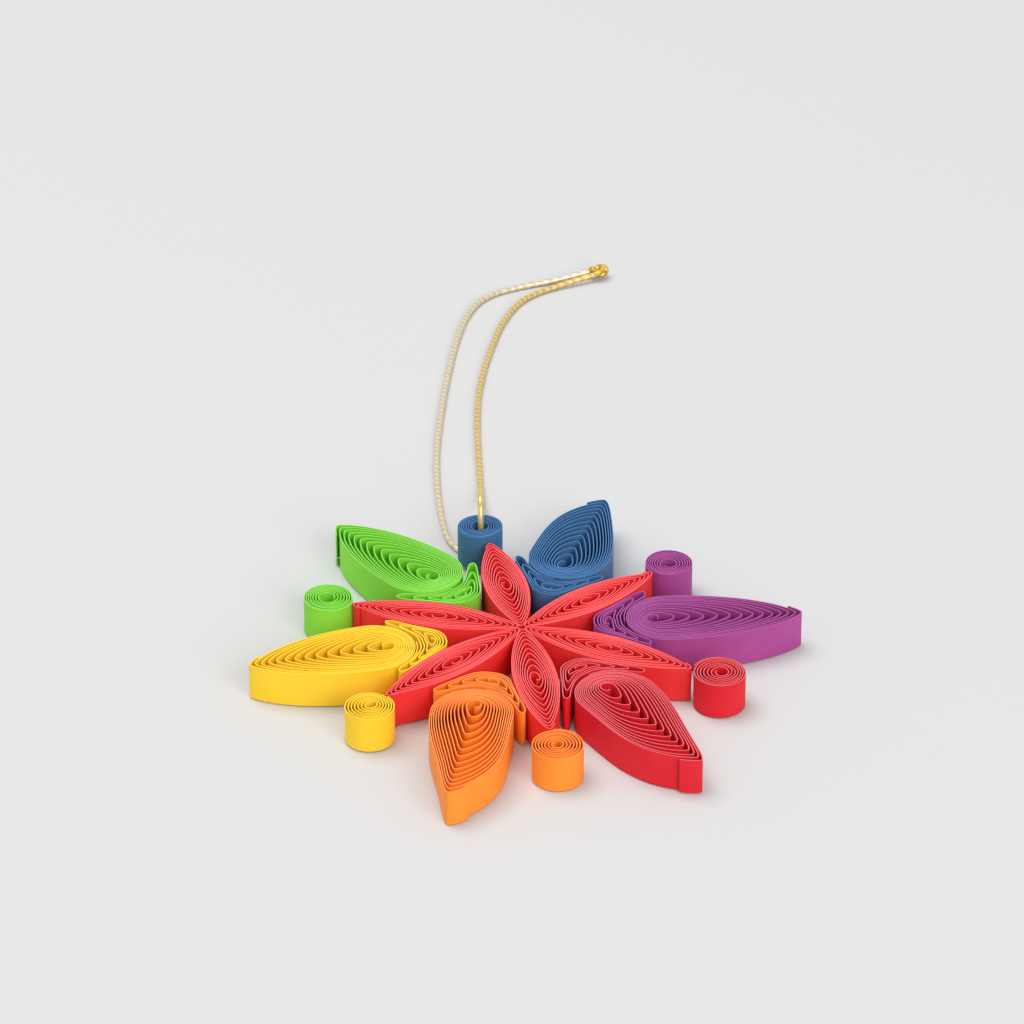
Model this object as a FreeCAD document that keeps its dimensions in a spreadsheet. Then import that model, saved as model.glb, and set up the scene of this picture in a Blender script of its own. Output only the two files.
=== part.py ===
# Quilled paper star, an ornament that hangs on a thin cord.
#
# Every piece of the star is one long strip of paper, coiled, pinched to shape and glued, and it
# stands on the table on the strip's edge. X and Y lie in the table, Y points to the roll that
# the cord goes through, Z is up, and the origin is under the middle of the star's outline.
import FreeCAD, Part
import math
import os

doc = FreeCAD.newDocument("quilled_star")

# The driving dimensions, in millimetres, degrees and turns.
sizes = doc.addObject("Spreadsheet::Sheet", "Sizes")
DIMENSIONS = [
    ("strip_width", 6.0, "height of every coil"),
    ("paper", 0.16, "thickness of the strip"),
    ("glue_gap", 0.06, "room that neighbouring coils leave for the glue"),
    ("fold_radius", 0.2, "bend of the strip at a pinched tip"),
    ("petal_length", 26.2, "pinched tip to pinched tip"),
    ("petal_width", 6.8, ""),
    ("petal_turns", 10, ""),
    ("petal_eye", 0.55, "radius of the innermost turn"),
    ("teardrop_width", 12.6, ""),
    ("teardrop_back", 6.6, "round end, from the widest place inwards"),
    ("teardrop_front", 20.0, "pinched end, from the widest place outwards"),
    ("teardrop_turns", 13, ""),
    ("teardrop_eye", 0.8, "radius of the innermost turn"),
    ("teardrop_eye_back", 2.5, "middle of the eye, from the widest place inwards"),
    ("crescent_depth", 5.0, "thickness at the middle"),
    ("crescent_horn", 1.75, "thickness at the narrowest place of a horn"),
    ("crescent_spread", 76.0, "angle from the middle to a horn's tip"),
    ("crescent_turns", 4, ""),
    ("crescent_eye", 0.45, "radius of the innermost turn"),
    ("roll_diameter", 7.7, ""),
    ("roll_turns", 7, ""),
    ("roll_eye", 0.8, "radius of the innermost turn"),
    ("cord_diameter", 0.9, ""),
    ("cord_room", 0.1, "clearance round the cord"),
    ("knot_length", 3.6, ""),
    ("knot_width", 2.8, ""),
]
for row, (alias, number, note) in enumerate(DIMENSIONS, start=1):
    sizes.set(f"A{row}", alias)
    sizes.set(f"B{row}", str(number))
    sizes.set(f"C{row}", note)
    sizes.setAlias(f"B{row}", alias)
doc.recompute()


VALUES = {alias: float(sizes.get(alias)) for alias, *_ in DIMENSIONS}


def size(alias):
    return VALUES[alias]


HALF_PAPER = size("paper") / 2
POINTS_A_TURN = 28   # so that one of the wall's arcs goes round each pinched tip
STRAIGHT = 0.002     # mm off a straight line, which no eye sees
PAST_THE_FOLD = 0.07   # the strip's end is glued down this much of a turn after the last fold
CRESCENT_END = 0.75    # and in the hollow of a crescent
# How much closer together a coil's turns lie towards its outline than in its middle.
PETAL_SIDE_PACKING, PETAL_TIP_PACKING = 0.38, 0.5
TEARDROP_PACKING = 0.5
CRESCENT_PACKING = -0.35
TEARDROP_FULLNESS = 0.45   # 1 is a parabola, less is a straighter side with a fuller belly
CORNER_BLEND = 14          # how closely a crescent fills the corner between a petal and its apex

# The star is made by hand, so no two of its angles and lengths are quite the same. A petal has
# the direction of its tip, how much longer it is than the others, and the roll at its tip: the
# colour, how much further round it sits and how much thicker it is.
PETALS = {
    "petal_back": (90.2, -1.9, "roll_blue", 1.4, -0.5),
    "petal_back_right": (26.4, -1.1, "roll_purple", 1.0, -0.3),
    "petal_front_right": (-35.6, 1.2, "roll_dark_red", 1.2, 0.5),
    "petal_front": (-93.2, 1.6, "roll_orange", 0.8, 0.3),
    "petal_front_left": (-148.5, 0.9, "roll_yellow", 0.7, 0.0),
    "petal_back_left": (154.3, 0.1, "roll_green", -1.6, 0.1),
}
# A teardrop sits between two petals. Its own values are the direction of its tip as seen from
# its widest place, how much longer its pinched end is, how far its belly swings to the left of
# its axis, how much thicker the horns of its crescent are, and how far round from the middle
# between the petals it sits.
TEARDROPS = {
    "blue": ("petal_back_right", "petal_back", 59.5, -2.4, 0.9, 0.0, 0.5),
    "green": ("petal_back", "petal_back_left", 124.0, -1.4, 0.0, 0.5, 0.0),
    "yellow": ("petal_back_left", "petal_front_left", -177.0, -1.2, 0.0, 0.0, 0.0),
    "orange": ("petal_front_left", "petal_front", -110.8, 0.9, 1.4, -0.1, 2.0),
    "dark_red": ("petal_front", "petal_front_right", -66.8, 1.2, -1.3, 0.0, 0.0),
    "purple": ("petal_front_right", "petal_back_right", -7.2, 0.2, 0.0, 0.2, 0.0),
}
HORN_BLUNT = 0.05     # share of a horn's length in which its end closes
TIP_EASE = 6          # how fast a coil's turns go from the round eye to pinched tips
BELLY_SHARE = 27 / 4  # x * x * (1 - x) times this is 1 where the belly is largest


def phases(turns):
    """The angles along a strip's turns, each with the share of the strip that lies before it."""
    count = round(turns * POINTS_A_TURN)
    return [(2 * math.pi * turns * n / count, n / count) for n in range(count + 1)]


def progress(done, packing):
    """From 0 at the eye to 1 at the outline, closer together towards the outline."""
    left = 1 - done
    return 1 - left * (1 - packing * done)


def pinch(sine, half_width, length, radius, fullness):
    """Share of the half width at this place of a turn whose tip is folded at a radius."""
    fold = min(1.0, radius * length / half_width ** 2) ** (1 / fullness)
    return sine * (sine * sine * (1 - fold) + fold) ** (fullness / 2)


def tip_radius(eye, f):
    fold = size("fold_radius")
    return fold + (max(eye, fold) - fold) * (1 - f) ** TIP_EASE


def wall_edges(points):
    """The wall through the points: an arc through every three, or a line where they lie straight."""
    edges = [Part.makeLine(points[0], points[1])]
    n = 1
    while n + 2 < len(points):
        start, middle, end = points[n:n + 3]
        if middle.distanceToLine(start, end - start) < STRAIGHT:
            edges.append(Part.makeLine(start, end))
        else:
            edges.append(Part.Arc(start, middle, end).toShape())
        n += 2
    for start, end in zip(points[n:], points[n + 1:]):
        edges.append(Part.makeLine(start, end))
    return edges


def strip_face(path):
    """The strip seen on its edge: the path with half the paper's thickness on either side."""
    last = len(path) - 1
    left, right = [], []
    for n, (x, y) in enumerate(path):
        before, after = path[max(n - 1, 0)], path[min(n + 1, last)]
        dx, dy = after[0] - before[0], after[1] - before[1]
        along = math.hypot(dx, dy)
        nx, ny = -dy / along * HALF_PAPER, dx / along * HALF_PAPER
        left.append(FreeCAD.Vector(x + nx, y + ny, 0))
        right.append(FreeCAD.Vector(x - nx, y - ny, 0))
    start = Part.makeLine(left[0], right[0])
    end = Part.makeLine(right[-1], left[-1])
    outgoing, returning = wall_edges(left), wall_edges(right)[::-1]
    return Part.Face(Part.Wire(outgoing + [end] + returning + [start]))


def coil(name, path, place):
    """A coil that stands on its edge: the strip's plan, as high as the strip is wide."""
    plan = doc.addObject("Part::Feature", name + "_plan")
    plan.Shape = strip_face(path)
    body = doc.addObject("Part::Extrusion", name)
    body.Label = name
    body.Base = plan
    body.DirMode = "Custom"
    body.Dir = FreeCAD.Vector(0, 0, 1)
    body.Solid = True
    body.setExpression("LengthFwd", "Sizes.strip_width")
    body.Placement = place
    return body


def placed(x, y, direction, z=0.0):
    return FreeCAD.Placement(
        FreeCAD.Vector(x, y, z), FreeCAD.Rotation(FreeCAD.Vector(0, 0, 1), direction)
    )


def polar(distance, direction):
    angle = math.radians(direction)
    return distance * math.cos(angle), distance * math.sin(angle)


# Petals: marquise coils, pinched at both ends, with their inner tips together in the middle.
def petal_length(name):
    return size("petal_length") + PETALS[name][1]


def petal_half_width(along, length):
    """Half the petal's outline at a distance from its inner tip."""
    x = 2 * along / length - 1
    return size("petal_width") / 2 * (1 - x * x) if abs(x) < 1 else 0.0


def gap_between(first, second):
    return (PETALS[second][0] - PETALS[first][0]) % 360


def petal_start(name):
    """How far from the middle a petal begins, so that it stays clear of both neighbours."""
    gaps = [gap_between(f, s) for f, s, *_ in TEARDROPS.values() if name in (f, s)]
    side = math.radians(min(gaps) / 2)
    length = petal_length(name)
    samples = 40
    stops = [
        (petal_half_width(k * length / samples, length) + size("glue_gap")) / math.tan(side)
        - k * length / samples
        for k in range(samples)
    ]
    return max(stops)


def petal_path(name):
    turns, eye = size("petal_turns"), size("petal_eye")
    half_length = petal_length(name) / 2 - HALF_PAPER
    half_width = size("petal_width") / 2 - HALF_PAPER
    path = []
    for phase, done in phases(turns + PAST_THE_FOLD):
        c, s = math.cos(phase), math.sin(phase)
        f = progress(
            done, PETAL_SIDE_PACKING + (PETAL_TIP_PACKING - PETAL_SIDE_PACKING) * c * c
        )
        long = eye + (half_length - eye) * f
        wide = eye + (half_width - eye) * f
        path.append((long * c, wide * pinch(s, wide, long, tip_radius(eye, f), 1.0)))
    return path


PETAL_STARTS = {name: petal_start(name) for name in PETALS}
star = []
for name, (direction, *_) in PETALS.items():
    middle = PETAL_STARTS[name] + petal_length(name) / 2
    star.append(coil(name, petal_path(name), placed(*polar(middle, direction), direction)))


# Teardrops: pinched at one end only, the round end towards the middle of the star.
def to_petal(x, y, name):
    """How far a point is from a petal's side, less than zero inside the petal."""
    angle = math.radians(PETALS[name][0])
    along = x * math.cos(angle) + y * math.sin(angle)
    across = abs(y * math.cos(angle) - x * math.sin(angle))
    return across - petal_half_width(along - PETAL_STARTS[name], petal_length(name))


def nearest_petal(x, y, names):
    return min(to_petal(x, y, name) for name in names)


RAY_STEP = 0.4                    # mm
HALVINGS = 12                     # of that step, until what is left of it is a tenth of a micrometre
SEAT_HALVINGS = 40
HORN_RAYS = (-60, -45, -30, 30, 45, 60)    # degrees from straight inwards


def round_end(angle, axis):
    """The teardrop's outline round its widest place, at an angle from straight inwards."""
    a, b = size("teardrop_back"), size("teardrop_width") / 2
    turned = math.radians(angle - axis)
    return a * b / math.hypot(b * math.cos(turned), a * math.sin(turned))


def teardrop_seat(colour):
    """The teardrop's widest place, where the crescent's horns just fit beside it."""
    first, second, axis, *_, thicker, aside = TEARDROPS[colour]
    direction = PETALS[first][0] + gap_between(first, second) / 2 + aside
    needed = size("crescent_horn") + thicker + 2 * size("glue_gap")
    near, far = size("petal_length") / 2, 2 * size("petal_length")
    for _ in range(SEAT_HALVINGS):
        middle = (near + far) / 2
        x, y = polar(middle, direction)
        room = min(
            nearest_ray(x, y, direction + 180 + ray, (first, second))
            - round_end(ray, axis - direction)
            for ray in HORN_RAYS
        )
        near, far = (near, middle) if room > needed else (middle, far)
    return near, direction


def nearest_ray(x, y, direction, names):
    """How far it is from a point to the side of a petal, in one direction."""
    dx, dy = polar(1.0, direction)
    ahead, far = 0.0, size("petal_length")
    while ahead < far and nearest_petal(x + dx * ahead, y + dy * ahead, names) > 0:
        ahead += RAY_STEP
    near, far = ahead - RAY_STEP, ahead
    for _ in range(HALVINGS):
        middle = (near + far) / 2
        if nearest_petal(x + dx * middle, y + dy * middle, names) > 0:
            near = middle
        else:
            far = middle
    return near


def teardrop_path(colour):
    longer, belly = TEARDROPS[colour][3:5]
    hand = -1 if colour in ("dark_red", "yellow") else 1
    turns, eye = size("teardrop_turns"), size("teardrop_eye")
    half_width = size("teardrop_width") / 2 - HALF_PAPER
    front = size("teardrop_front") + longer - HALF_PAPER
    back = size("teardrop_back") - HALF_PAPER
    path = []
    for phase, done in phases(turns + PAST_THE_FOLD):
        c, s = math.cos(phase), math.sin(phase)
        f = progress(done, TEARDROP_PACKING * (1 - ((1 - c) / 2) ** 2))
        long = eye + ((front if c > 0 else back) - eye) * f
        wide = eye + (half_width - eye) * f
        share = pinch(s, wide, long, tip_radius(eye, f), TEARDROP_FULLNESS) if c > 0 else s
        swing = belly * f * BELLY_SHARE * c * c * (1 - c) if c > 0 else 0.0
        across = hand * wide * share + swing
        path.append((long * c - size("teardrop_eye_back") * (1 - f), across))
    return path


SEATS = {colour: teardrop_seat(colour) for colour in TEARDROPS}
for colour, (_, _, direction, *_) in TEARDROPS.items():
    seat = polar(*SEATS[colour])
    star.append(coil("teardrop_" + colour, teardrop_path(colour), placed(*seat, direction)))


# Crescents: bent round the teardrop's round end, with the horns along the petals' sides.
def crescent_walls(colour, angle):
    """Distances of the crescent's inner and outer wall from the teardrop's widest place."""
    first, second, direction, *_ = TEARDROPS[colour]
    seat, middle = SEATS[colour]
    x, y = polar(seat, middle)
    inner = round_end(angle, direction - middle) + size("glue_gap")
    side = nearest_ray(x, y, middle + 180 + angle, (first, second)) - size("glue_gap")
    apex = size("teardrop_back") + size("glue_gap") + size("crescent_depth")
    outer = (side ** -CORNER_BLEND + apex ** -CORNER_BLEND) ** (-1 / CORNER_BLEND)
    return inner, outer


def crescent_path(colour):
    """Turns that taper to a fold in either horn, and only the last ones reach its blunt tip."""
    turns, eye = size("crescent_turns"), size("crescent_eye")
    spread = size("crescent_spread")
    bend = size("teardrop_back") + size("crescent_depth") / 2
    length = bend * math.radians(spread)
    path = []
    for phase, done in phases(turns + CRESCENT_END):
        c, s = math.cos(phase), math.sin(phase)
        f = progress(done, CRESCENT_PACKING)
        around = spread * c * f + math.degrees(eye / bend) * (1 - f) * c
        inner, outer = crescent_walls(colour, around)
        thick = (outer - inner) / 2 - HALF_PAPER
        taper = thick * f * (1 + HORN_BLUNT)
        tip_width = max(taper / (2 * (1 - f + HORN_BLUNT)), eye)
        share = pinch(s, tip_width, length * f + eye, tip_radius(eye, f), 1.0)
        across = share * taper / ((1 + abs(c)) * (1 - f * abs(c) + HORN_BLUNT))
        across += eye * (1 - f) * s
        x, y = polar((inner + outer) / 2 + across, around)
        path.append((-x, -y))
    return path


for colour in TEARDROPS:
    seat, middle = SEATS[colour]
    place = placed(*polar(seat, middle), middle)
    star.append(coil("crescent_" + colour, crescent_path(colour), place))


# Rolls: round coils at the petals' tips, with the strip's glued end against the petal. The blue
# one, which the cord goes through, is looser in the middle and stands on the cord.
ROLLS = {  # how much wider the eye is, how far it has drifted and to where, and the packing
    "roll_blue": (0.4, 0.0, 90.0, 0.3),
    "roll_purple": (0.2, 0.2, 40.0, 0.25),
    "roll_dark_red": (0.0, 0.3, 200.0, 0.3),
    "roll_orange": (-0.2, 0.1, 60.0, 0.1),
    "roll_yellow": (-0.2, 0.5, 20.0, 0.1),
    "roll_green": (0.3, 0.3, 150.0, 0.25),
}


def roll_radius(petal):
    return (size("roll_diameter") + PETALS[petal][4]) / 2


def roll_path(petal):
    wider, drift, drift_direction, packing = ROLLS[PETALS[petal][2]]
    turns, eye = size("roll_turns"), size("roll_eye") + wider
    radius = roll_radius(petal) - HALF_PAPER
    aside = polar(drift, drift_direction)
    path = []
    for phase, done in phases(turns):
        f = progress(done, packing)
        x, y = polar(eye + (radius - eye) * f, math.degrees(phase))
        path.append((x + aside[0] * (1 - f), y + aside[1] * (1 - f)))
    return path


def roll_middle(petal):
    tip = PETAL_STARTS[petal] + petal_length(petal)
    distance = tip + size("glue_gap") + roll_radius(petal)
    return polar(distance, PETALS[petal][0] + PETALS[petal][3])


for petal, (direction, _, roll, *_) in PETALS.items():
    lift = size("cord_diameter") + size("cord_room") if roll == "roll_blue" else 0.0
    star.append(coil(roll, roll_path(petal), placed(*roll_middle(petal), direction + 180, lift)))

# The origin goes under the middle of the star's outline.
doc.recompute()
outline = FreeCAD.BoundBox()
for body in star:
    outline.add(body.Shape.BoundBox)
middle_x, middle_y = outline.Center.x, outline.Center.y
for body in star:
    body.Placement.Base -= FreeCAD.Vector(middle_x, middle_y, 0)


# Cord: one thin cord from the knot, down through the blue roll's core and back to the knot. Its
# points are measured from the core, which it goes down in the middle of the route.
core_x, core_y = roll_middle("petal_back")
core_x -= middle_x
core_y -= middle_y
LIE = size("cord_diameter") / 2
ROUTE = [
    (36.3, 84.4, 1.2),
    (29.2, 83.0, LIE),
    (22.9, 80.0, LIE),
    (18.2, 73.1, LIE),
    (14.8, 65.2, LIE),
    (11.6, 56.9, LIE),
    (9.0, 47.9, LIE),
    (7.1, 38.6, LIE),
    (5.5, 29.0, LIE),
    (4.0, 19.5, LIE),
    (2.6, 12.3, 2.6),
    (1.3, 6.1, 10.2),
    (0.0, 0.0, 10.4),
    (0.1, -0.1, 2.6),
    (0.0, 0.0, LIE),
    (-3.9, 5.2, LIE),
    (-3.5, 14.6, LIE),
    (-2.2, 24.4, LIE),
    (-0.8, 32.2, LIE),
    (1.0, 39.8, LIE),
    (3.5, 49.1, LIE),
    (6.6, 59.6, LIE),
    (9.8, 69.3, LIE),
    (13.3, 77.5, LIE),
    (17.5, 82.4, LIE),
    (23.4, 84.1, LIE),
    (29.8, 85.0, LIE),
    (36.2, 85.7, 1.2),
]
ARC_SHARE = 0.45   # of a run, which each of the arcs at its two ends takes


def rounded(points):
    """Straight runs joined by tangent arcs, each as large as its two runs allow."""
    edges, radii = [], []
    here = points[0]
    for before, corner, after in zip(points, points[1:], points[2:]):
        into, out = (corner - before), (after - corner)
        turn = into.getAngle(out)
        cut = ARC_SHARE * min(into.Length, out.Length)
        radius = cut / math.tan(turn / 2)
        first = corner - FreeCAD.Vector(into).normalize() * cut
        last = corner + FreeCAD.Vector(out).normalize() * cut
        inward = (first + last) * 0.5 - corner
        centre = corner + FreeCAD.Vector(inward).normalize() * math.hypot(radius, cut)
        crown = centre + (corner - centre).normalize() * radius
        edges.append(Part.LineSegment(here, first).toShape())
        edges.append(Part.Arc(first, crown, last).toShape())
        radii.append(radius)
        here = last
    edges.append(Part.LineSegment(here, points[-1]).toShape())
    return Part.Wire(edges), radii


route = [FreeCAD.Vector(core_x + x, core_y + y, z) for x, y, z in ROUTE]
path = doc.addObject("Part::Feature", "cord_path")
path.Shape, radii = rounded(route)
section = doc.addObject("Part::Circle", "cord_section")
section.setExpression("Radius", "Sizes.cord_diameter / 2")
start_along = route[1] - route[0]
section.Placement = FreeCAD.Placement(
    route[0], FreeCAD.Rotation(FreeCAD.Vector(0, 0, 1), start_along)
)
cord = doc.addObject("Part::Sweep", "hanging_cord")
cord.Label = "hanging_cord"
cord.Sections = [section]
cord.Spine = (path, [f"Edge{n + 1}" for n in range(len(path.Shape.Edges))])
cord.Solid = True
cord.Frenet = False

# Knot: the two ends of the cord tied together, with room in it for both.
blob = doc.addObject("Part::Ellipsoid", "knot_blob")
blob.setExpression("Radius1", "Sizes.knot_width / 2")
blob.setExpression("Radius2", "Sizes.knot_length / 2")
blob.setExpression("Radius3", "Sizes.knot_width / 2")
ends = (route[0] + route[-1]) * 0.5
along_ends = (route[0] - route[1] + route[-1] - route[-2]).normalize() * size("cord_diameter")
blob.Placement = FreeCAD.Placement(
    FreeCAD.Vector(ends.x, ends.y, size("knot_width") / 2) + along_ends,
    FreeCAD.Rotation(FreeCAD.Vector(1, 0, 0), along_ends),
)
knot = doc.addObject("Part::Cut", "cord_knot")
knot.Label = "cord_knot"
knot.Base = blob
knot.Tool = cord

doc.recompute()
print("cord radii", ", ".join(f"{radius:.1f}" for radius in radii))
tube = math.pi * LIE ** 2 * path.Shape.Length
print(f"cord length {path.Shape.Length:.1f}, volume {cord.Shape.Volume:.1f}, a tube's {tube:.1f}")

pieces = star + [cord, knot]
for item in doc.Objects:
    if "Invalid" in item.State or "Error" in item.State:
        raise RuntimeError(f"{item.Label} did not build: {item.State}")
for item in pieces:
    if item.Shape.isNull() or not item.Shape.isValid() or len(item.Shape.Solids) != 1:
        raise RuntimeError(f"{item.Label} is not one valid solid")
os.makedirs("parts", exist_ok=True)
for item in pieces:
    item.Shape.exportStep(f"parts/{item.Label}.step")
print(f"star {outline.XLength:.2f} x {outline.YLength:.2f}, {len(pieces)} pieces")
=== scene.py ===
import itertools
import math

import bpy
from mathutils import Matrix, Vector


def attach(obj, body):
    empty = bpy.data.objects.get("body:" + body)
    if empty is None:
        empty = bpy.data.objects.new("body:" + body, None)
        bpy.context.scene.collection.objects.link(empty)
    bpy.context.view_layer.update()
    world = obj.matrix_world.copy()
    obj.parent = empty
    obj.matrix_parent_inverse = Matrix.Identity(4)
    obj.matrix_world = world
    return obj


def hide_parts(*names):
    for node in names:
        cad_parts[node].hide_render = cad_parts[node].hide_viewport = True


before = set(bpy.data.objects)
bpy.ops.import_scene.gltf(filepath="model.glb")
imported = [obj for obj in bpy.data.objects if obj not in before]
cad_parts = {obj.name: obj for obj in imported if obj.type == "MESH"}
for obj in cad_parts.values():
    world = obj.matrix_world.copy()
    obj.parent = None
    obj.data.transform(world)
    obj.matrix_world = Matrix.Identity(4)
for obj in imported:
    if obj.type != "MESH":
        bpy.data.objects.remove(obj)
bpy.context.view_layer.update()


# Camera: a long lens on the ornament from the front and a little to the left of the blue roll's
# petal, 31 degrees above the table, so that the whole cord is in view behind the star.
MM = 0.001
AZIMUTH, ELEVATION, DISTANCE = math.radians(-11.5), math.radians(31.42), 872.2 * MM
VIEW_MIDDLE = Vector((6.82, 45.47, 0.0)) * MM
PICTURE_SIDE = 1024
towards_camera = Vector((
    math.sin(AZIMUTH) * math.cos(ELEVATION),
    -math.cos(AZIMUTH) * math.cos(ELEVATION),
    math.sin(ELEVATION),
))
lens = bpy.data.cameras.new("camera")
lens.sensor_width = 36.0
lens.lens = 195.3
lens.clip_start, lens.clip_end = 0.05, 20.0
camera = bpy.data.objects.new("camera", lens)
camera.location = VIEW_MIDDLE + towards_camera * DISTANCE
camera.rotation_euler = towards_camera.to_track_quat("Z", "Y").to_euler()
bpy.context.scene.collection.objects.link(camera)
bpy.context.scene.camera = camera
bpy.context.scene.render.resolution_x = PICTURE_SIDE
bpy.context.scene.render.resolution_y = PICTURE_SIDE


# Cord: one thin metallic cord, threaded down through the blue roll's core. From the core one leg
# goes up and over the rim, the other down and out below the roll, and both lie on the table as
# far as the knot that ties their ends together.
CORD_DIAMETER = 0.9            # all the cord's sizes are in millimetres
LIE = CORD_DIAMETER / 2
LAY_SCALE = 3.6                # gives a band for each 1.1 mm of the cord, which is one twist
# size of the painted glints: bright and deep gold specks mixed into the thread's colour
PAINTED_GLINT_SIZE = 0.6
CORE = Vector((-0.9891, 31.4743, 0.0))
IN_CORE = (0.067, -0.067, 5.2)
LEG_OVER = [
    IN_CORE, (0.0, 0.0, 10.4), (1.3, 6.1, 10.2), (2.6, 12.3, 2.6), (4.0, 19.5, LIE),
    (5.5, 29.0, LIE), (7.1, 38.6, LIE), (9.0, 47.9, LIE), (11.6, 56.9, LIE),
    (14.8, 65.2, LIE), (18.2, 73.1, LIE), (22.9, 80.0, LIE), (29.2, 83.0, LIE),
    (36.3, 84.4, 1.2),
]
LEG_UNDER = [
    IN_CORE, (0.1, -0.1, 2.6), (0.0, 0.0, LIE), (-3.9, 5.2, LIE), (-3.5, 14.6, LIE),
    (-2.2, 24.4, LIE), (-0.8, 32.2, LIE), (1.0, 39.8, LIE), (3.5, 49.1, LIE),
    (6.6, 59.6, LIE), (9.8, 69.3, LIE), (13.3, 77.5, LIE), (17.5, 82.4, LIE),
    (23.4, 84.1, LIE), (29.8, 85.0, LIE), (36.2, 85.7, 1.2),
]


def linear(hex_colour):
    """An sRGB colour such as E8403C as the linear values that a shader takes."""
    channels = [int(hex_colour[n:n + 2], 16) / 255 for n in (0, 2, 4)]
    bent = [c / 12.92 if c <= 0.04045 else ((c + 0.055) / 1.055) ** 2.4 for c in channels]
    return (*bent, 1.0)


def add(tree, kind, inputs=None, **settings):
    """One node with its settings and links. An input is named or numbered. It takes a value, an
    output, or another node, which stands for its first output in use."""
    node = tree.nodes.new(kind)
    for key, value in settings.items():
        setattr(node, key, value)
    for key, value in (inputs or {}).items():
        if isinstance(key, int):
            place = node.inputs[key]
        else:
            place = next(s for s in node.inputs if s.name == key and s.enabled)
        if isinstance(value, bpy.types.Node):
            value = next(s for s in value.outputs if s.enabled)
        if isinstance(value, bpy.types.NodeSocket):
            tree.links.new(value, place)
        else:
            place.default_value = value
    return node


# Twisted metallic thread: half metal, half pale core, so it glitters in slanting bands.
def gold_thread(name, pale, bright, deep):
    material = bpy.data.materials.new(name)
    material.use_nodes = True
    tree = material.node_tree
    tree.nodes.clear()
    place = add(tree, "ShaderNodeTexCoord").outputs["Object"]
    slanted = add(tree, "ShaderNodeMapping", {
        "Vector": place, "Rotation": (0.5, 0.35, math.radians(40)),
    })
    lay = add(tree, "ShaderNodeTexWave", {
        "Vector": slanted, "Scale": 1 / (LAY_SCALE * MM), "Distortion": 1.6,
        "Detail": 2.0, "Detail Scale": 2.0,
    }, bands_direction="Y").outputs["Fac"]
    # Painted glints: a fine noise mixes bright and deep gold into the colour, as painted highlights
    # on top of the real metallic sheen.
    painted_glint = add(tree, "ShaderNodeTexNoise", {
        "Vector": place, "Scale": 1 / (PAINTED_GLINT_SIZE * MM), "Detail": 2.0,
    })
    thread = add(tree, "ShaderNodeMix", {
        "Factor": painted_glint, "A": linear(bright), "B": linear(deep),
    }, data_type="RGBA")
    colour = add(tree, "ShaderNodeMix", {
        "Factor": lay, "A": linear(pale), "B": thread,
    }, data_type="RGBA")
    bump = add(tree, "ShaderNodeBump", {
        "Height": lay, "Strength": 0.3, "Distance": 0.1 * MM,
    })
    surface = add(tree, "ShaderNodeBsdfPrincipled", {
        "Base Color": colour, "Normal": bump, "Metallic": 0.55, "Roughness": 0.34,
    })
    add(tree, "ShaderNodeOutputMaterial", {"Surface": surface})
    return material


def cord_leg(name, route, thread):
    curve = bpy.data.curves.new(name, "CURVE")
    curve.dimensions = "3D"
    spline = curve.splines.new("NURBS")
    spline.points.add(len(route) - 1)
    for point, place in zip(spline.points, route):
        point.co = (*((CORE + Vector(place)) * MM), 1.0)
    spline.order_u = 3
    spline.use_endpoint_u = True
    spline.resolution_u = 10
    curve.bevel_depth = CORD_DIAMETER * MM / 2
    curve.bevel_resolution = 4
    curve.use_fill_caps = True
    curve.materials.append(thread)
    leg = bpy.data.objects.new(name, curve)
    bpy.context.scene.collection.objects.link(leg)
    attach(leg, "root")
    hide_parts("hanging_cord")
    return leg


# The two legs are one cord in two copies of its gold, which differ only in painted light: the leg
# over the rim is painted golder with brighter glints, and the leg under the roll is painted paler.
leg_over = cord_leg(
    "cord_over_the_roll", LEG_OVER,
    gold_thread("twisted gold thread in painted bright light", "ECD8A0", "F8CC5C", "BE984E"),
)
leg_under = cord_leg(
    "cord_under_the_roll", LEG_UNDER,
    gold_thread("gold thread in painted flat light", "F0E6CE", "EED8A8", "CDB78E"),
)


# Knot: the two ends of the cord tied in an overhand knot, pulled tight. It is a trefoil of the
# same cord, and its gold is painted deeper, as painted shade and reflected light between its turns.
KNOT_AT = CORE + Vector((37.15, 85.18, 1.4))
KNOT_TURN = math.radians(10.0)
KNOT_POINTS = 96
KNOT_LONG, KNOT_WIDE, KNOT_RISE = 1.22, 0.86, 0.42
RING, RING_SWING = 0.78, 0.34   # the trefoil's ring, and how far its three lobes swing from it
KNOT_CORD_RADIUS = 0.46

knot_curve = bpy.data.curves.new("knot", "CURVE")
knot_curve.dimensions = "3D"
knot_line = knot_curve.splines.new("POLY")
knot_line.points.add(KNOT_POINTS - 1)
for n, point in enumerate(knot_line.points):
    phase = 2 * math.pi * n / KNOT_POINTS
    ring = RING + RING_SWING * math.cos(3 * phase)
    along = KNOT_LONG * ring * math.cos(2 * phase)
    across = KNOT_WIDE * ring * math.sin(2 * phase)
    up = KNOT_RISE * math.sin(3 * phase)
    x = along * math.cos(KNOT_TURN) - across * math.sin(KNOT_TURN)
    y = along * math.sin(KNOT_TURN) + across * math.cos(KNOT_TURN)
    point.co = (*((KNOT_AT + Vector((x, y, up))) * MM), 1.0)
knot_line.use_cyclic_u = True
knot_curve.bevel_depth = KNOT_CORD_RADIUS * MM
knot_curve.bevel_resolution = 4
knot_tube = bpy.data.objects.new("knot_tube", knot_curve)
bpy.context.scene.collection.objects.link(knot_tube)
knot_mesh = bpy.data.meshes.new_from_object(
    knot_tube.evaluated_get(bpy.context.evaluated_depsgraph_get())
)
bpy.data.objects.remove(knot_tube)
knot_mesh.materials.clear()
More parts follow.
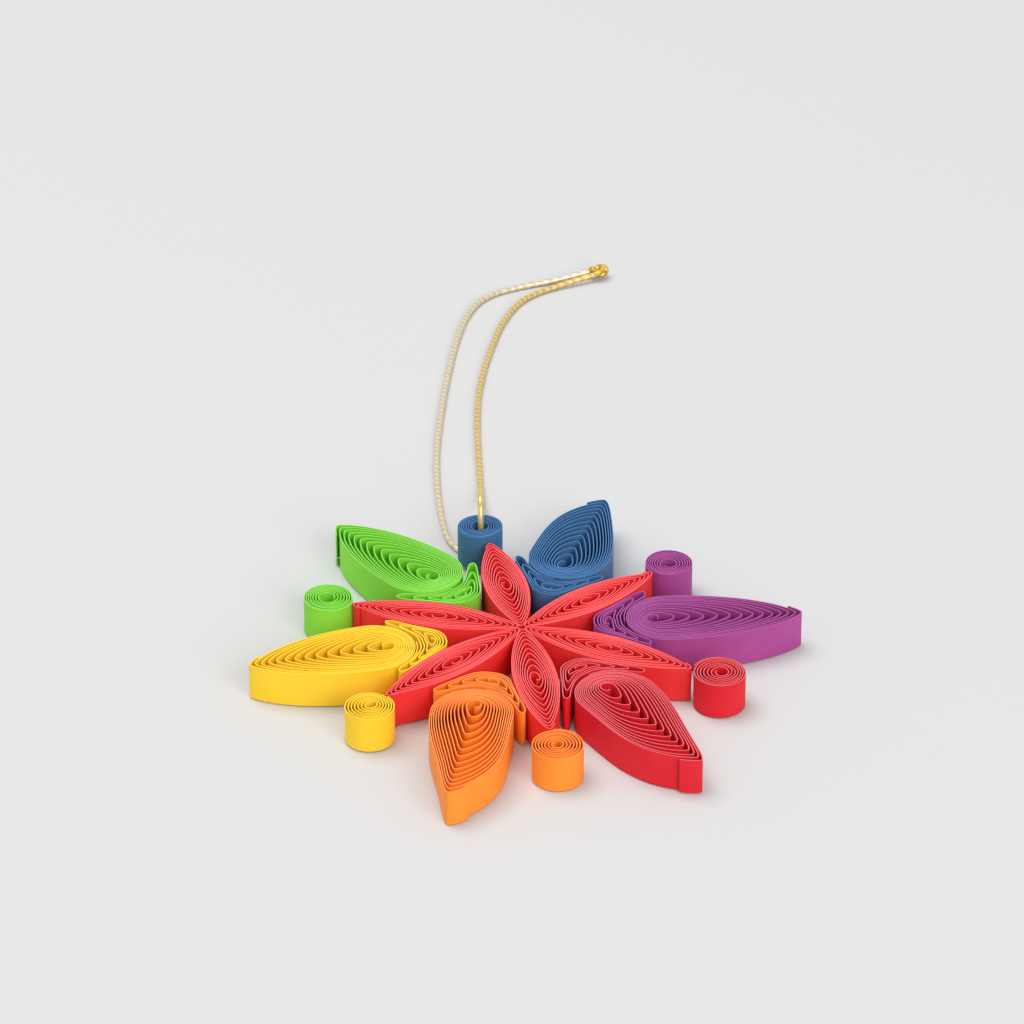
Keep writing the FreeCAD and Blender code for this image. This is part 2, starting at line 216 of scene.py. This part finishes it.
# deeper gold colours: painted shade and reflected light between the knot's turns
knot_mesh.materials.append(gold_thread("knotted gold thread, painted shade", "E8C86A", "E0A820", "9A6A10"))
for face in knot_mesh.polygons:
    face.use_smooth = True
knot = bpy.data.objects.new("overhand_knot", knot_mesh)
bpy.context.scene.collection.objects.link(knot)
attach(knot, "root")
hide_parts("cord_knot")


# Petals: six marquise coils of red paper strip, rolled up, pinched at both ends and glued with
# their inner tips together in the middle of the star. Each stands on the strip's edge.
STRIP_WIDTH, PAPER = 6.0, 0.16          # millimetres, as are all the sizes of the coils
HALF_PAPER = PAPER / 2
GLUE_GAP = 0.06
WOBBLE, WOBBLE_LENGTH = 0.12, 9.0       # how far the paper waves, and over what length
PETAL_SLIP = 0.3                        # how far one turn stands up from the next
SLIP_PACE, OTHER_EDGE = 1.6, 40.0       # changes of slip in a turn, and the lower edge's own
SEEDS = itertools.count(196.0, 14.0)    # one for each coil, so that no two slip alike
FIBRE_SIZE, DYE_PATCH = 0.35, 5.0       # the fibres are drawn coarse enough to show
PETAL_LENGTH, PETAL_WIDTH, PETAL_TURNS, PETAL_EYE = 26.2, 6.8, 10, 0.55
PETAL_SIDE_PACKING, PETAL_TIP_PACKING = 0.38, 0.5
FOLD_RADIUS, PAST_THE_FOLD, TIP_EASE = 0.2, 0.07, 6
POINTS_A_TURN = 78
STAR_MIDDLE = (0.2057, -3.4289)         # of the star's outline, as seen from the petals' inner tips
# The direction of a petal's tip, how much longer it is than the others, and the roll at its tip:
# the colour, how much further round it sits and how much thicker it is.
PETALS = {
    "petal_back": (90.2, -1.9, "roll_blue", 1.4, -0.5),
    "petal_back_right": (26.4, -1.1, "roll_purple", 1.0, -0.3),
    "petal_front_right": (-35.6, 1.2, "roll_dark_red", 1.2, 0.5),
    "petal_front": (-93.2, 1.6, "roll_orange", 0.8, 0.3),
    "petal_front_left": (-148.5, 0.9, "roll_yellow", 0.7, 0.0),
    "petal_back_left": (154.3, 0.1, "roll_green", -1.6, 0.1),
}


# Dyed paper: matt, with short fibres that break up its gloss, and dye that took a little
# unevenly. The cut edges, which face up or down, are a little paler than its faces: partly their
# rougher fibres, partly painted light on the tops.
def dyed_paper(colour_name, face, uneven, cut_edge):
    material = bpy.data.materials.new("dyed paper, " + colour_name)
    material.use_nodes = True
    tree = material.node_tree
    tree.nodes.clear()
    place = add(tree, "ShaderNodeTexCoord").outputs["Object"]
    fibres = add(tree, "ShaderNodeTexNoise", {
        "Vector": place, "Scale": 1 / (FIBRE_SIZE * MM), "Detail": 3.0, "Roughness": 0.6,
    })
    dye = add(tree, "ShaderNodeTexNoise", {
        "Vector": place, "Scale": 1 / (DYE_PATCH * MM), "Detail": 2.0,
    })
    faces = add(tree, "ShaderNodeMix", {
        "Factor": dye, "A": linear(face), "B": linear(uneven),
    }, data_type="RGBA")
    # faces that look up or down take the cut-edge colour, paler partly as painted light on the tops
    at_edge = add(tree, "ShaderNodeAttribute", attribute_name="cut_edge").outputs["Fac"]
    colour = add(tree, "ShaderNodeMix", {
        "Factor": at_edge, "A": faces, "B": linear(cut_edge),
    }, data_type="RGBA")
    bump = add(tree, "ShaderNodeBump", {
        "Height": fibres, "Strength": 0.35, "Distance": 0.03 * MM,
    })
    surface = add(tree, "ShaderNodeBsdfPrincipled", {
        "Base Color": colour, "Normal": bump, "Roughness": 0.62, "Specular IOR Level": 0.28,
    })
    add(tree, "ShaderNodeOutputMaterial", {"Surface": surface})
    return material


# The tree turns a strip's centre line into paper that stands on its edge. Its two edges slip a
# little up or down from turn to turn, as they do in a coil that is rolled by hand.
strip_tree = bpy.data.node_groups.new("quilled strip", "GeometryNodeTree")
strip_inputs = {}
for label, kind in [
    ("Centre line", "NodeSocketGeometry"), ("Strip width", "NodeSocketFloat"),
    ("Paper", "NodeSocketFloat"), ("Slip", "NodeSocketFloat"), ("Wobble", "NodeSocketFloat"),
    ("Seed", "NodeSocketFloat"), ("Material", "NodeSocketMaterial"),
]:
    item = strip_tree.interface.new_socket(label, in_out="INPUT", socket_type=kind)
    strip_inputs[label] = item.identifier
strip_tree.interface.new_socket("Paper coil", in_out="OUTPUT", socket_type="NodeSocketGeometry")
given = strip_tree.nodes.new("NodeGroupInput").outputs
line = add(strip_tree, "GeometryNodeMeshToCurve", {"Mesh": given["Centre line"]})
upright = add(strip_tree, "GeometryNodeSetCurveNormal", {"Curve": line}, mode="Z_UP")
section = add(strip_tree, "GeometryNodeCurvePrimitiveQuadrilateral", {
    "Width": given["Paper"], "Height": given["Strip width"],
})
wall = add(strip_tree, "GeometryNodeCurveToMesh", {
    "Curve": upright, "Profile Curve": section, "Fill Caps": True,
})
turn = add(strip_tree, "GeometryNodeInputNamedAttribute", {"Name": "turn"}, data_type="FLOAT")
position = add(strip_tree, "GeometryNodeInputPosition")
parts = add(strip_tree, "ShaderNodeSeparateXYZ", {"Vector": position}).outputs
upper = add(strip_tree, "FunctionNodeCompare", {"A": parts["Z"], "B": 0.0},
            data_type="FLOAT", operation="GREATER_THAN")
seeded = add(strip_tree, "ShaderNodeMath", {0: turn, 1: SLIP_PACE, 2: given["Seed"]},
             operation="MULTIPLY_ADD")
elsewhere = add(strip_tree, "ShaderNodeMath", {0: seeded, 1: OTHER_EDGE}, operation="ADD")
slips = []
for place in (seeded, elsewhere):
    noise = add(strip_tree, "ShaderNodeTexNoise", {"W": place, "Scale": 1.0, "Detail": 1.0},
                noise_dimensions="1D")
    slips.append(add(strip_tree, "ShaderNodeMath", {0: noise, 1: given["Slip"]},
                     operation="MULTIPLY"))
lowered = add(strip_tree, "ShaderNodeMath", {0: slips[0], 1: -1.0}, operation="MULTIPLY")
shift = add(strip_tree, "GeometryNodeSwitch", {
    "Switch": upper, "False": slips[1], "True": lowered,
}, input_type="FLOAT")
raised = add(strip_tree, "ShaderNodeMath", {0: given["Strip width"], 1: 0.5, 2: shift},
             operation="MULTIPLY_ADD")
plan = add(strip_tree, "ShaderNodeCombineXYZ", {"X": parts["X"], "Y": parts["Y"]})
sway = add(strip_tree, "ShaderNodeTexNoise", {
    "Vector": plan, "Scale": 1 / (WOBBLE_LENGTH * MM), "Detail": 1.0,
}).outputs["Color"]
swayed = add(strip_tree, "ShaderNodeSeparateXYZ", {"Vector": sway}).outputs
aside = []
for axis in ("X", "Y"):
    centred = add(strip_tree, "ShaderNodeMath", {0: swayed[axis], 1: 0.5}, operation="SUBTRACT")
    aside.append(add(strip_tree, "ShaderNodeMath", {0: centred, 1: given["Wobble"]},
                     operation="MULTIPLY"))
offset = add(strip_tree, "ShaderNodeCombineXYZ", {"X": aside[0], "Y": aside[1], "Z": raised})
stood = add(strip_tree, "GeometryNodeSetPosition", {"Geometry": wall, "Offset": offset})
# Faces that look up or down are marked as cut edges, which the paper paints paler, partly as
# painted top light.
normal = add(strip_tree, "GeometryNodeInputNormal")
facing_up = add(strip_tree, "ShaderNodeSeparateXYZ", {"Vector": normal}).outputs["Z"]
steep = add(strip_tree, "ShaderNodeMath", {0: facing_up}, operation="ABSOLUTE")
is_edge = add(strip_tree, "ShaderNodeMath", {0: steep, 1: 0.7}, operation="GREATER_THAN")
marked = add(strip_tree, "GeometryNodeStoreNamedAttribute", {
    "Geometry": stood, "Name": "cut_edge", "Value": is_edge,
}, data_type="FLOAT", domain="FACE")
real = add(strip_tree, "GeometryNodeRealizeInstances", {"Geometry": marked})
dyed = add(strip_tree, "GeometryNodeSetMaterial", {
    "Geometry": real, "Material": given["Material"],
})
add(strip_tree, "NodeGroupOutput", {"Paper coil": dyed})


def quilled(node, path, at, direction, material, slip, lift=0.0):
    """The paper coil for one node of the frame, from its centre line in millimetres."""
    turned = math.radians(direction)
    points = []
    for x, y in path:
        points.append(Vector((
            at[0] + x * math.cos(turned) - y * math.sin(turned),
            at[1] + x * math.sin(turned) + y * math.cos(turned),
            lift,
        )) * MM)
    data = bpy.data.meshes.new("quilled_" + node)
    data.from_pydata(points, [(n, n + 1) for n in range(len(points) - 1)], [])
    turns = data.attributes.new("turn", "FLOAT", "POINT")
    turns.data.foreach_set("value", [n / POINTS_A_TURN for n in range(len(points))])
    body = bpy.data.objects.new("quilled_" + node, data)
    bpy.context.scene.collection.objects.link(body)
    strip = body.modifiers.new("quilled strip", "NODES")
    strip.node_group = strip_tree
    values = {
        "Strip width": STRIP_WIDTH * MM, "Paper": PAPER * MM, "Slip": slip * MM,
        "Wobble": WOBBLE * MM, "Seed": next(SEEDS), "Material": material,
    }
    for label, value in values.items():
        strip[strip_inputs[label]] = value
    coil = bpy.data.meshes.new_from_object(
        body.evaluated_get(bpy.context.evaluated_depsgraph_get())
    )
    body.modifiers.clear()
    body.data = coil
    bpy.data.meshes.remove(data)
    for face in coil.polygons:
        face.use_smooth = True
    coil.set_sharp_from_angle(angle=math.radians(38))
    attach(body, "root")
    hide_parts(node)


def polar(distance, direction):
    angle = math.radians(direction)
    return distance * math.cos(angle), distance * math.sin(angle)


def in_star(x, y):
    return x - STAR_MIDDLE[0], y - STAR_MIDDLE[1]


def phases(turns):
    """The angles along a strip's turns, each with the share of the strip that lies before it."""
    count = round(turns * POINTS_A_TURN)
    return [(2 * math.pi * turns * n / count, n / count) for n in range(count + 1)]


def progress(done, packing):
    """From 0 at the eye to 1 at the outline, closer together towards the outline."""
    return 1 - (1 - done) * (1 - packing * done)


def pinch(sine, half_width, length, radius, fullness):
    """Share of the half width at this place of a turn whose tip is folded at a radius."""
    fold = min(1.0, radius * length / half_width ** 2) ** (1 / fullness)
    return sine * (sine * sine * (1 - fold) + fold) ** (fullness / 2)


def tip_radius(eye, f):
    return FOLD_RADIUS + (max(eye, FOLD_RADIUS) - FOLD_RADIUS) * (1 - f) ** TIP_EASE


def petal_length(name):
    return PETAL_LENGTH + PETALS[name][1]


def petal_half_width(along, length):
    x = 2 * along / length - 1
    return PETAL_WIDTH / 2 * (1 - x * x) if abs(x) < 1 else 0.0


def petal_start(name):
    """How far from the middle a petal begins, so that it stays clear of both neighbours."""
    turns_to_others = [
        abs((PETALS[other][0] - PETALS[name][0] + 180) % 360 - 180)
        for other in PETALS if other != name
    ]
    side = math.radians(min(turns_to_others) / 2)
    length = petal_length(name)
    samples = 40
    return max(
        (petal_half_width(k * length / samples, length) + GLUE_GAP) / math.tan(side)
        - k * length / samples
        for k in range(samples)
    )


def petal_path(name):
    half_length = petal_length(name) / 2 - HALF_PAPER
    half_width = PETAL_WIDTH / 2 - HALF_PAPER
    path = []
    for phase, done in phases(PETAL_TURNS + PAST_THE_FOLD):
        c, s = math.cos(phase), math.sin(phase)
        f = progress(
            done, PETAL_SIDE_PACKING + (PETAL_TIP_PACKING - PETAL_SIDE_PACKING) * c * c
        )
        long = PETAL_EYE + (half_length - PETAL_EYE) * f
        wide = PETAL_EYE + (half_width - PETAL_EYE) * f
        path.append((long * c, wide * pinch(s, wide, long, tip_radius(PETAL_EYE, f), 1.0)))
    return path


# the third colour of each paper is its cut edges' colour, paler partly as painted light on the tops
petal_red = dyed_paper("red", "E92A2D", "F43E3C", "FA6064")
PETAL_STARTS = {name: petal_start(name) for name in PETALS}
for name, (direction, *_) in PETALS.items():
    middle = polar(PETAL_STARTS[name] + petal_length(name) / 2, direction)
    quilled(
        name, petal_path(name), in_star(*middle), direction, petal_red,
        PETAL_SLIP,
    )


# Teardrops: six coils in six colours, rolled up with the eye towards the round end and pinched
# at the outer end only. Each sits where its crescent's horns just fit between it and two petals.
TEARDROP_WIDTH, TEARDROP_BACK, TEARDROP_FRONT = 12.6, 6.6, 20.0
TEARDROP_TURNS, TEARDROP_EYE, TEARDROP_EYE_BACK = 13, 0.8, 2.5
TEARDROP_PACKING, TEARDROP_FULLNESS = 0.5, 0.45
TEARDROP_SLIP = 0.3
BELLY_SHARE = 27 / 4      # x * x * (1 - x) times this is 1 where the belly is largest
CRESCENT_HORN = 1.75
HORN_RAYS = (-60, -45, -30, 30, 45, 60)
RAY_STEP, HALVINGS, SEAT_HALVINGS = 0.4, 12, 40
# The two petals beside a teardrop, the direction of its tip as seen from its widest place, how
# much longer its pinched end is, how far its belly swings to the left of its axis, how much
# thicker the horns of its crescent are, and how far round from the middle it sits.
TEARDROPS = {
    "blue": ("petal_back_right", "petal_back", 59.5, -2.4, 0.9, 0.0, 0.5),
    "green": ("petal_back", "petal_back_left", 124.0, -1.4, 0.0, 0.5, 0.0),
    "yellow": ("petal_back_left", "petal_front_left", -177.0, -1.2, 0.0, 0.0, 0.0),
    "orange": ("petal_front_left", "petal_front", -110.8, 0.9, 1.4, -0.1, 2.0),
    "dark_red": ("petal_front", "petal_front_right", -66.8, 1.2, -1.3, 0.0, 0.0),
    "purple": ("petal_front_right", "petal_back_right", -7.2, 0.2, 0.0, 0.2, 0.0),
}
LEFT_HANDED = ("dark_red", "yellow")      # coiled the other way round
# the third colour of each paper is its cut edges' colour, paler partly as painted light on the tops
PAPERS = {
    "dark_red": dyed_paper("dark red", "DA182A", "E82733", "E4646C"),
    "orange": dyed_paper("orange", "FF8A22", "FF9E3A", "FF9048"),
    "yellow": dyed_paper("yellow", "FFCE20", "FFDA3E", "FFD83A"),
    "green": dyed_paper("green", "7ED837", "95E648", "8ADE54"),
    "blue": dyed_paper("blue", "3A6A98", "4C7CA8", "4678AE"),
    "purple": dyed_paper("purple", "A2418A", "B6539B", "AC549E"),
}


def to_petal(x, y, name):
    """How far a point is from a petal's side, less than zero inside the petal."""
    angle = math.radians(PETALS[name][0])
    along = x * math.cos(angle) + y * math.sin(angle)
    across = abs(y * math.cos(angle) - x * math.sin(angle))
    return across - petal_half_width(along - PETAL_STARTS[name], petal_length(name))


def nearest_ray(x, y, direction, names):
    """How far it is from a point to the side of a petal, in one direction."""
    dx, dy = polar(1.0, direction)
    ahead = 0.0
    while ahead < PETAL_LENGTH and min(
        to_petal(x + dx * ahead, y + dy * ahead, name) for name in names
    ) > 0:
        ahead += RAY_STEP
    near, far = ahead - RAY_STEP, ahead
    for _ in range(HALVINGS):
        middle = (near + far) / 2
        if min(to_petal(x + dx * middle, y + dy * middle, name) for name in names) > 0:
            near = middle
        else:
            far = middle
    return near


def round_end(angle, axis):
    """The teardrop's outline round its widest place, at an angle from straight inwards."""
    a, b = TEARDROP_BACK, TEARDROP_WIDTH / 2
    turned = math.radians(angle - axis)
    return a * b / math.hypot(b * math.cos(turned), a * math.sin(turned))


def teardrop_seat(colour):
    """The distance and direction of the teardrop's widest place from the petals' inner tips."""
    first, second, axis, *_, thicker, aside = TEARDROPS[colour]
    direction = PETALS[first][0] + (PETALS[second][0] - PETALS[first][0]) % 360 / 2 + aside
    needed = CRESCENT_HORN + thicker + 2 * GLUE_GAP
    near, far = PETAL_LENGTH / 2, 2 * PETAL_LENGTH
    for _ in range(SEAT_HALVINGS):
        middle = (near + far) / 2
        x, y = polar(middle, direction)
        room = min(
            nearest_ray(x, y, direction + 180 + ray, (first, second))
            - round_end(ray, axis - direction)
            for ray in HORN_RAYS
        )
        near, far = (near, middle) if room > needed else (middle, far)
    return near, direction


def teardrop_path(colour):
    longer, belly = TEARDROPS[colour][3:5]
    hand = -1 if colour in LEFT_HANDED else 1
    half_width = TEARDROP_WIDTH / 2 - HALF_PAPER
    front = TEARDROP_FRONT + longer - HALF_PAPER
    behind = TEARDROP_BACK - HALF_PAPER
    eye = TEARDROP_EYE
    path = []
    for phase, done in phases(TEARDROP_TURNS + PAST_THE_FOLD):
        c, s = math.cos(phase), math.sin(phase)
        f = progress(done, TEARDROP_PACKING * (1 - ((1 - c) / 2) ** 2))
        long = eye + ((front if c > 0 else behind) - eye) * f
        wide = eye + (half_width - eye) * f
        radius = tip_radius(eye, f)
        share = pinch(s, wide, long, radius, TEARDROP_FULLNESS) if c > 0 else s
        swing = belly * f * BELLY_SHARE * c * c * (1 - c) if c > 0 else 0.0
        path.append((long * c - TEARDROP_EYE_BACK * (1 - f), hand * wide * share + swing))
    return path


SEATS = {colour: teardrop_seat(colour) for colour in TEARDROPS}
for colour, (_, _, direction, *_) in TEARDROPS.items():
    seat = in_star(*polar(*SEATS[colour]))
    quilled(
        "teardrop_" + colour, teardrop_path(colour), seat, direction,
        PAPERS[colour], TEARDROP_SLIP,
    )


# Crescents: loose coils of the teardrop's own paper, bent round its round end before the glue
# set, with a horn squeezed in between it and the petal on either side.
CRESCENT_DEPTH, CRESCENT_SPREAD, CRESCENT_TURNS, CRESCENT_EYE = 5.0, 76.0, 4, 0.45
CRESCENT_END, CRESCENT_PACKING = 0.75, -0.35
CRESCENT_SLIP = 0.35
HORN_BLUNT, CORNER_BLEND = 0.05, 14


def crescent_walls(colour, angle):
    """Distances of the crescent's inner and outer wall from the teardrop's widest place."""
    first, second, direction, *_ = TEARDROPS[colour]
    seat, middle = SEATS[colour]
    x, y = polar(seat, middle)
    inner = round_end(angle, direction - middle) + GLUE_GAP
    side = nearest_ray(x, y, middle + 180 + angle, (first, second)) - GLUE_GAP
    apex = TEARDROP_BACK + GLUE_GAP + CRESCENT_DEPTH
    return inner, (side ** -CORNER_BLEND + apex ** -CORNER_BLEND) ** (-1 / CORNER_BLEND)


def crescent_path(colour):
    """Turns that taper to a fold in either horn, and only the last ones reach its blunt tip."""
    eye = CRESCENT_EYE
    bend = TEARDROP_BACK + CRESCENT_DEPTH / 2
    length = bend * math.radians(CRESCENT_SPREAD)
    path = []
    for phase, done in phases(CRESCENT_TURNS + CRESCENT_END):
        c, s = math.cos(phase), math.sin(phase)
        f = progress(done, CRESCENT_PACKING)
        around = CRESCENT_SPREAD * c * f + math.degrees(eye / bend) * (1 - f) * c
        inner, outer = crescent_walls(colour, around)
        taper = ((outer - inner) / 2 - HALF_PAPER) * f * (1 + HORN_BLUNT)
        tip_width = max(taper / (2 * (1 - f + HORN_BLUNT)), eye)
        share = pinch(s, tip_width, length * f + eye, tip_radius(eye, f), 1.0)
        across = share * taper / ((1 + abs(c)) * (1 - f * abs(c) + HORN_BLUNT))
        across += eye * (1 - f) * s
        x, y = polar((inner + outer) / 2 + across, around)
        path.append((-x, -y))
    return path


for colour in TEARDROPS:
    seat, middle = SEATS[colour]
    quilled(
        "crescent_" + colour, crescent_path(colour), in_star(*polar(seat, middle)), middle,
        PAPERS[colour], CRESCENT_SLIP,
    )


# Rolls: six small round coils, one glued to each petal's tip with the strip's end against the
# petal. The blue one is looser in the middle and stands on the cord that comes out below it.
ROLL_DIAMETER, ROLL_TURNS, ROLL_EYE = 7.7, 7, 0.8
ROLL_SLIP = 0.35
CORD_ROOM = 0.1
# How much wider the eye is, how far it has drifted and to where, and the packing.
ROLLS = {
    "roll_blue": (0.4, 0.0, 90.0, 0.3),
    "roll_purple": (0.2, 0.2, 40.0, 0.25),
    "roll_dark_red": (0.0, 0.3, 200.0, 0.3),
    "roll_orange": (-0.2, 0.1, 60.0, 0.1),
    "roll_yellow": (-0.2, 0.5, 20.0, 0.1),
    "roll_green": (0.3, 0.3, 150.0, 0.25),
}


def roll_path(radius, wider, drift, drift_direction, packing):
    eye = ROLL_EYE + wider
    aside_x, aside_y = polar(drift, drift_direction)
    path = []
    for phase, done in phases(ROLL_TURNS):
        f = progress(done, packing)
        x, y = polar(eye + (radius - eye) * f, math.degrees(phase))
        path.append((x + aside_x * (1 - f), y + aside_y * (1 - f)))
    return path


for petal, (direction, _, roll, further, thicker) in PETALS.items():
    radius = (ROLL_DIAMETER + thicker) / 2
    distance = PETAL_STARTS[petal] + petal_length(petal) + GLUE_GAP + radius
    place = in_star(*polar(distance, direction + further))
    lift = CORD_DIAMETER + CORD_ROOM if roll == "roll_blue" else 0.0
    colour = roll.removeprefix("roll_")
    quilled(
        roll, roll_path(radius - HALF_PAPER, *ROLLS[roll]), place, direction + 180,
        PAPERS[colour], ROLL_SLIP, lift,
    )


# Table: a matt white board under the ornament, larger than the view. It is so dull that only the
# soft shadows show on it.
TABLE_HALF, BELOW = 3.0, 0.02 * MM
table = bpy.data.meshes.new("table")
table.from_pydata(
    [
        (-TABLE_HALF, -TABLE_HALF, 0), (TABLE_HALF, -TABLE_HALF, 0),
        (TABLE_HALF, TABLE_HALF, 0), (-TABLE_HALF, TABLE_HALF, 0),
    ],
    [], [(0, 1, 2, 3)],
)
board = bpy.data.materials.new("matt white board")
board.use_nodes = True
board.node_tree.nodes.clear()
board_surface = add(board.node_tree, "ShaderNodeBsdfPrincipled", {
    "Base Color": linear("CDCDCD"), "Roughness": 0.85, "Specular IOR Level": 0.1,
})
add(board.node_tree, "ShaderNodeOutputMaterial", {"Surface": board_surface})
table.materials.append(board)
table_top = bpy.data.objects.new("table", table)
table_top.location.z = -BELOW
bpy.context.scene.collection.objects.link(table_top)


# Light: a white studio with one large soft lamp overhead and one in front, so that the walls of
# the coils that face the viewer are as bright as their tops.
LAMP_SIDE = 0.9
LAMPS = {
    "overhead": ((-0.35, 0.35, 1.3), 11.0),
    "front": ((0.4, -1.3, 0.8), 12.0),
}
for name, (place, power) in LAMPS.items():
    data = bpy.data.lights.new(name, "AREA")
    data.shape = "SQUARE"
    data.size = LAMP_SIDE
    data.energy = power
    lamp = bpy.data.objects.new(name, data)
    lamp.location = place
    lamp.rotation_euler = (Vector(place) - VIEW_MIDDLE).to_track_quat("Z", "Y").to_euler()
    bpy.context.scene.collection.objects.link(lamp)
world = bpy.data.worlds.new("white studio")
world.use_nodes = True
sky = world.node_tree.nodes["Background"]
sky.inputs["Color"].default_value = linear("FFFFFF")
sky.inputs["Strength"].default_value = 0.62
bpy.context.scene.world = world
bpy.context.scene.view_settings.view_transform = "Standard"
